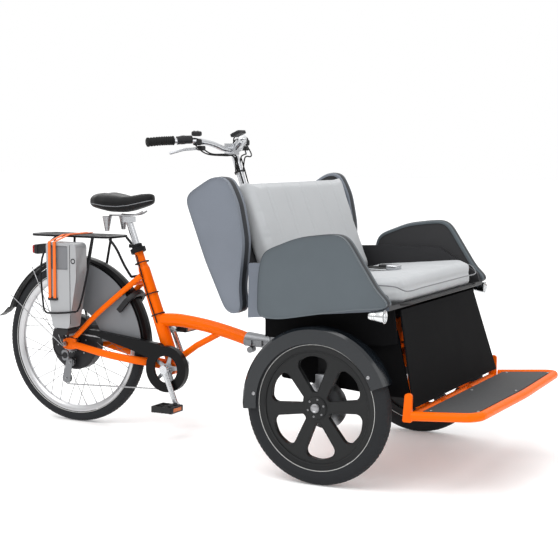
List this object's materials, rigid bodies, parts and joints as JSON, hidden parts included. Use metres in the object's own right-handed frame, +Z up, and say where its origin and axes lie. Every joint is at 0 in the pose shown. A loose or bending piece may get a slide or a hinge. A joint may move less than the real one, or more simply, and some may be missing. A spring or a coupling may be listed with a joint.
{
  "type": "cycle rickshaw",
  "caption": "Pedal rickshaw with a winged passenger bench, footplate and two disc wheels on a steered front section, hinged to a bicycle rear half with carrier, battery and hub motor.",
  "frame": {"origin": "on the ground, below the centre of the vehicle's box", "axes": "+X forward, +Y to the rider's left, +Z up; the left-right middle plane of the frame and bench is the XZ plane"},
  "size_m": [2.2653, 1.0518, 1.1769],
  "materials": {
    "orange_paint": "gloss powder coat",
    "silver_cast": "satin",
    "black_metal": "satin powder coat",
    "polished_alloy": "polished",
    "chrome": "bright",
    "saddle_vinyl": "fine grain",
    "case_grey": "silver lacquer",
    "dark_plastic": "fine texture",
    "orange_elastic": "matt band",
    "lamp_red": "moulded lens",
    "guard_black": "gloss",
    "coat_guard_grey": "smooth",
    "steel": "brushed",
    "tyre_black": "matt",
    "rim_alloy": "machined",
    "motor_grey": "satin",
    "pedal_black": "satin",
    "grip_rubber": "ribbed",
    "shell_slate": "satin lacquer",
    "cushion_grey": "soft vinyl",
    "belt_webbing": "webbing",
    "panel_black": "matt",
    "deck_grey": "anti-slip",
    "lamp_chrome": "bright",
    "wheel_black": "satin"
  },
  "bodies": {
    "rear_frame": {"main_frame": "orange_paint", "rear_stays": "orange_paint", "frame_coupling": "silver_cast", "seat_clamp": "black_metal", "seatpost": "polished_alloy", "saddle_springs": "chrome", "saddle": "saddle_vinyl", "rear_carrier": "black_metal", "battery_case": "case_grey", "battery_base": "dark_plastic", "carrier_strap": "orange_elastic", "tail_lamp": "lamp_red", "rear_mudguard": "guard_black", "mudguard_stays": "steel", "ring_lock": "dark_plastic", "coat_guards": "coat_guard_grey", "chain_case": "guard_black", "chain": "steel", "rear_derailleur": "silver_cast", "rear_axle": "steel"},
    "rear_wheel": {"rear_tyre": "tyre_black", "rear_rim": "rim_alloy", "rear_spokes": "steel", "hub_motor": "motor_grey", "cassette": "steel"},
    "cranks": {"chainring": "silver_cast", "crank_arms": "polished_alloy"},
    "pedal_right": {"pedal_right": "pedal_black"},
    "pedal_left": {"pedal_left": "pedal_black"},
    "front_section": {"front_chassis": "orange_paint", "kingpin": "steel", "steering_column": "polished_alloy", "handlebar": "polished_alloy", "handlebar_grips": "grip_rubber", "brake_levers": "polished_alloy", "handlebar_console": "dark_plastic", "bench_shell": "shell_slate", "wings": "shell_slate", "arm_panels": "shell_slate", "backrest_cushion": "cushion_grey", "seat_cushion": "cushion_grey", "seat_belts": "belt_webbing", "under_box": "panel_black", "leg_panel": "panel_black", "footplate": "deck_grey", "footplate_rim": "orange_paint", "headlamps": "lamp_chrome", "front_mudguards": "shell_slate", "wheel_carriers": "black_metal", "brake_calipers": "silver_cast"},
    "front_wheel_right": {"tyre_right": "tyre_black", "disc_wheel_right": "wheel_black", "hub_right": "silver_cast"},
    "front_wheel_left": {"tyre_left": "tyre_black", "disc_wheel_left": "wheel_black", "hub_left": "silver_cast"}
  },
  "joints": [
    {"name": "steering", "type": "hinge", "parent": "rear_frame", "child": "front_section", "pos_m": [0.161, 0, 0.384], "axis": [0, 0, 1], "range_deg": [-40, 40]},
    {"name": "front_right_spin", "type": "hinge", "parent": "front_section", "child": "front_wheel_right", "pos_m": [0.556, -0.4645, 0.26], "axis": [0, 1, 0], "continuous": true},
    {"name": "front_left_spin", "type": "hinge", "parent": "front_section", "child": "front_wheel_left", "pos_m": [0.556, 0.4645, 0.26], "axis": [0, 1, 0], "continuous": true},
    {"name": "rear_spin", "type": "hinge", "parent": "rear_frame", "child": "rear_wheel", "pos_m": [-0.748, 0, 0.325], "axis": [0, 1, 0], "continuous": true},
    {"name": "crank_spin", "type": "hinge", "parent": "rear_frame", "child": "cranks", "pos_m": [-0.285, 0, 0.257], "axis": [0, 1, 0], "continuous": true},
    {"name": "pedal_right_spin", "type": "hinge", "parent": "cranks", "child": "pedal_right", "pos_m": [-0.226, -0.15, 0.12454], "axis": [0, 1, 0], "continuous": true},
    {"name": "pedal_left_spin", "type": "hinge", "parent": "cranks", "child": "pedal_left", "pos_m": [-0.344, 0.15, 0.38946], "axis": [0, 1, 0], "continuous": true}
  ]
}
